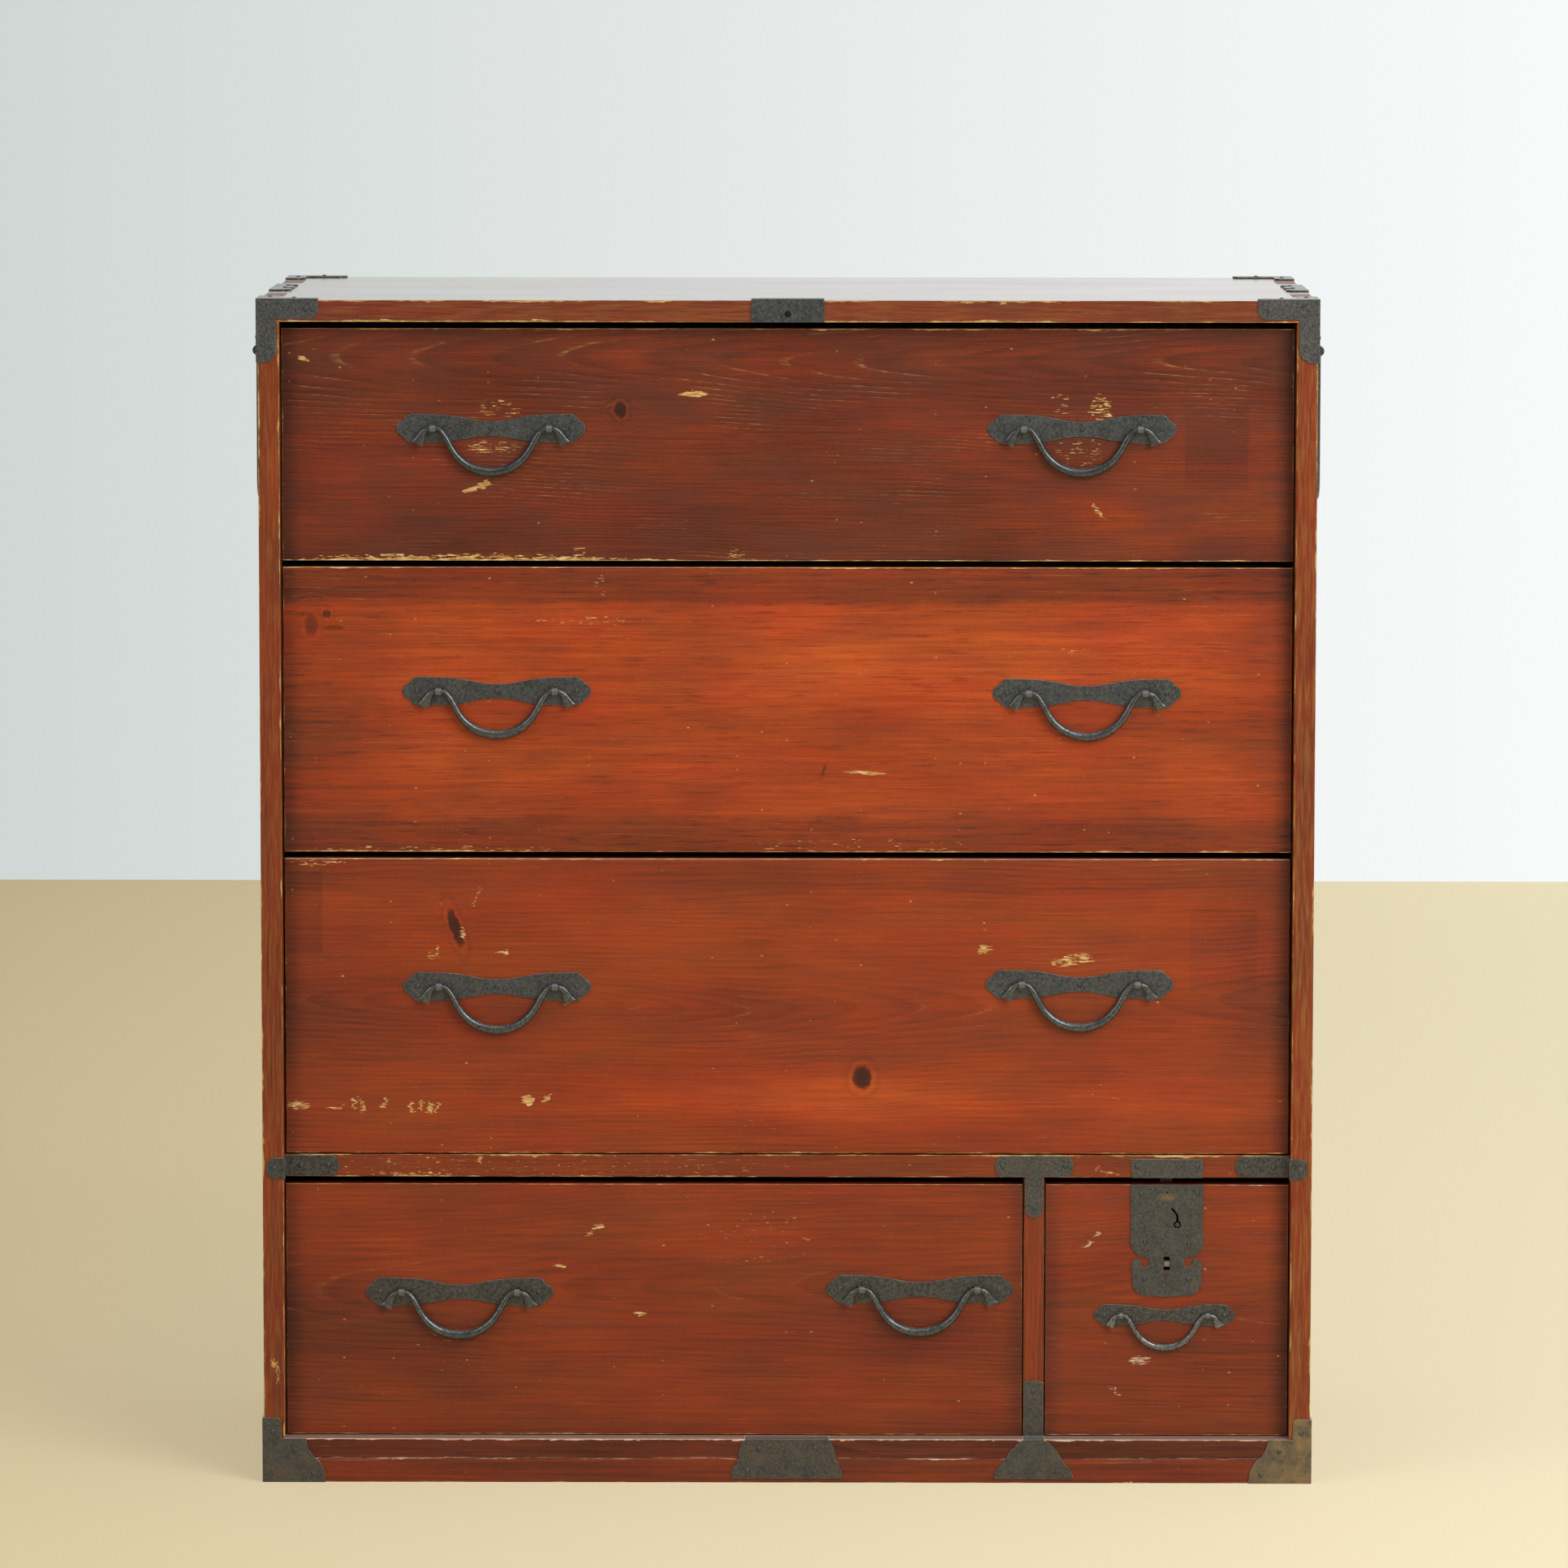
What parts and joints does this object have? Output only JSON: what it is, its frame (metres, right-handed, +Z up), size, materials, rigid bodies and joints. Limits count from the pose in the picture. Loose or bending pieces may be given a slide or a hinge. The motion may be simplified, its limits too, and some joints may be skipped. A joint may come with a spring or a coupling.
{
  "type": "tansu chest",
  "caption": "Free-standing lacquered clothing chest with sliding drawers, iron drop handles and corner irons, a lock with a sliding bolt, and swinging side carry handles.",
  "frame": {"origin": "centre of the footprint, on the floor", "axes": "+Z up, -Y is the front that the drawers pull out of, +X to the right seen from the front"},
  "size_m": [0.8708, 0.4166, 0.9633],
  "materials": {
    "lacquered_wood": "red-brown lacquer",
    "plain_wood": "planed, unfinished",
    "sheet_iron": "blackened",
    "bar_iron": "worn, burnished"
  },
  "bodies": {
    "case": {"left_side_panel": "lacquered_wood", "right_side_panel": "lacquered_wood", "top_panel": "lacquered_wood", "bottom_panel": "lacquered_wood", "plinth_rails": "lacquered_wood", "back_boards": "plain_wood", "mid_rail": "lacquered_wood", "mid_shelf": "plain_wood", "partition": "lacquered_wood", "drawer_runners": "plain_wood", "top_corner_irons": "sheet_iron", "top_edge_straps": "sheet_iron", "base_corner_irons": "sheet_iron", "base_centre_iron": "sheet_iron", "rail_end_straps": "sheet_iron", "partition_t_strap": "sheet_iron", "partition_foot_strap": "sheet_iron", "top_edge_plate": "sheet_iron", "strike_plate": "sheet_iron", "carcase_nails": "sheet_iron", "carry_handle_eyes": "sheet_iron"},
    "top_drawer": {"top_drawer_front": "lacquered_wood", "top_drawer_walls": "plain_wood", "top_drawer_bottom": "plain_wood", "top_drawer_handle_plates": "sheet_iron", "top_drawer_handle_pins": "sheet_iron"},
    "top_drawer_left_bail": {"top_drawer_left_bail": "bar_iron"},
    "top_drawer_right_bail": {"top_drawer_right_bail": "bar_iron"},
    "second_drawer": {"second_drawer_front": "lacquered_wood", "second_drawer_walls": "plain_wood", "second_drawer_bottom": "plain_wood", "second_drawer_handle_plates": "sheet_iron", "second_drawer_handle_pins": "sheet_iron"},
    "second_drawer_left_bail": {"second_drawer_left_bail": "bar_iron"},
    "second_drawer_right_bail": {"second_drawer_right_bail": "bar_iron"},
    "third_drawer": {"third_drawer_front": "lacquered_wood", "third_drawer_walls": "plain_wood", "third_drawer_bottom": "plain_wood", "third_drawer_handle_plates": "sheet_iron", "third_drawer_handle_pins": "sheet_iron"},
    "third_drawer_left_bail": {"third_drawer_left_bail": "bar_iron"},
    "third_drawer_right_bail": {"third_drawer_right_bail": "bar_iron"},
    "bottom_drawer": {"bottom_drawer_front": "lacquered_wood", "bottom_drawer_walls": "plain_wood", "bottom_drawer_bottom": "plain_wood", "bottom_drawer_handle_plates": "sheet_iron", "bottom_drawer_handle_pins": "sheet_iron"},
    "bottom_drawer_left_bail": {"bottom_drawer_left_bail": "bar_iron"},
    "bottom_drawer_right_bail": {"bottom_drawer_right_bail": "bar_iron"},
    "lock_drawer": {"lock_drawer_front": "lacquered_wood", "lock_drawer_walls": "plain_wood", "lock_drawer_bottom": "plain_wood", "lock_drawer_handle_plates": "sheet_iron", "lock_drawer_handle_pins": "sheet_iron", "lock_plate": "sheet_iron", "lock_case": "sheet_iron"},
    "lock_drawer_bail": {"lock_drawer_bail": "bar_iron"},
    "lock_bolt": {"lock_bolt": "bar_iron"},
    "left_carry_handle": {"left_carry_handle": "bar_iron"},
    "right_carry_handle": {"right_carry_handle": "bar_iron"}
  },
  "joints": [
    {"name": "top_drawer_slide", "type": "slide", "parent": "case", "child": "top_drawer", "axis": [0, -1, 0], "range_m": [0, 0.3]},
    {"name": "top_drawer_left_bail_hinge", "type": "hinge", "parent": "top_drawer", "child": "top_drawer_left_bail", "pos_m": [-0.23868, -0.1958, 0.85719], "axis": [-1, 0, 0], "range_deg": [0, 170]},
    {"name": "top_drawer_right_bail_hinge", "type": "hinge", "parent": "top_drawer", "child": "top_drawer_right_bail", "pos_m": [0.23664, -0.1958, 0.857], "axis": [-1, 0, 0], "range_deg": [0, 170]},
    {"name": "second_drawer_slide", "type": "slide", "parent": "case", "child": "second_drawer", "axis": [0, -1, 0], "range_m": [0, 0.3]},
    {"name": "second_drawer_left_bail_hinge", "type": "hinge", "parent": "second_drawer", "child": "second_drawer_left_bail", "pos_m": [-0.2346, -0.1958, 0.64492], "axis": [-1, 0, 0], "range_deg": [0, 170]},
    {"name": "second_drawer_right_bail_hinge", "type": "hinge", "parent": "second_drawer", "child": "second_drawer_right_bail", "pos_m": [0.24154, -0.1958, 0.64376], "axis": [-1, 0, 0], "range_deg": [0, 170]},
    {"name": "third_drawer_slide", "type": "slide", "parent": "case", "child": "third_drawer", "axis": [0, -1, 0], "range_m": [0, 0.3]},
    {"name": "third_drawer_left_bail_hinge", "type": "hinge", "parent": "third_drawer", "child": "third_drawer_left_bail", "pos_m": [-0.23501, -0.1958, 0.40461], "axis": [-1, 0, 0], "range_deg": [0, 170]},
    {"name": "third_drawer_right_bail_hinge", "type": "hinge", "parent": "third_drawer", "child": "third_drawer_right_bail", "pos_m": [0.23664, -0.1958, 0.40702], "axis": [-1, 0, 0], "range_deg": [0, 170]},
    {"name": "bottom_drawer_slide", "type": "slide", "parent": "case", "child": "bottom_drawer", "axis": [0, -1, 0], "range_m": [0, 0.3]},
    {"name": "bottom_drawer_left_bail_hinge", "type": "hinge", "parent": "bottom_drawer", "child": "bottom_drawer_left_bail", "pos_m": [-0.26637, -0.1958, 0.15421], "axis": [-1, 0, 0], "range_deg": [0, 170]},
    {"name": "bottom_drawer_right_bail_hinge", "type": "hinge", "parent": "bottom_drawer", "child": "bottom_drawer_right_bail", "pos_m": [0.1078, -0.1958, 0.15689], "axis": [-1, 0, 0], "range_deg": [0, 170]},
    {"name": "lock_drawer_slide", "type": "slide", "parent": "case", "child": "lock_drawer", "axis": [0, -1, 0], "range_m": [0, 0.3]},
    {"name": "lock_drawer_bail_hinge", "type": "hinge", "parent": "lock_drawer", "child": "lock_drawer_bail", "pos_m": [0.30687, -0.19472, 0.13587], "axis": [-1, 0, 0], "range_deg": [0, 170]},
    {"name": "lock_bolt_slide", "type": "slide", "parent": "lock_drawer", "child": "lock_bolt", "axis": [0, 0, 1], "range_m": [-0.0034, 0.0034]},
    {"name": "left_carry_handle_hinge", "type": "hinge", "parent": "case", "child": "left_carry_handle", "pos_m": [-0.4311, 0, 0.916], "axis": [0, 1, 0], "range_deg": [0, 180]},
    {"name": "right_carry_handle_hinge", "type": "hinge", "parent": "case", "child": "right_carry_handle", "pos_m": [0.4311, 0, 0.916], "axis": [0, -1, 0], "range_deg": [0, 180]}
  ]
}
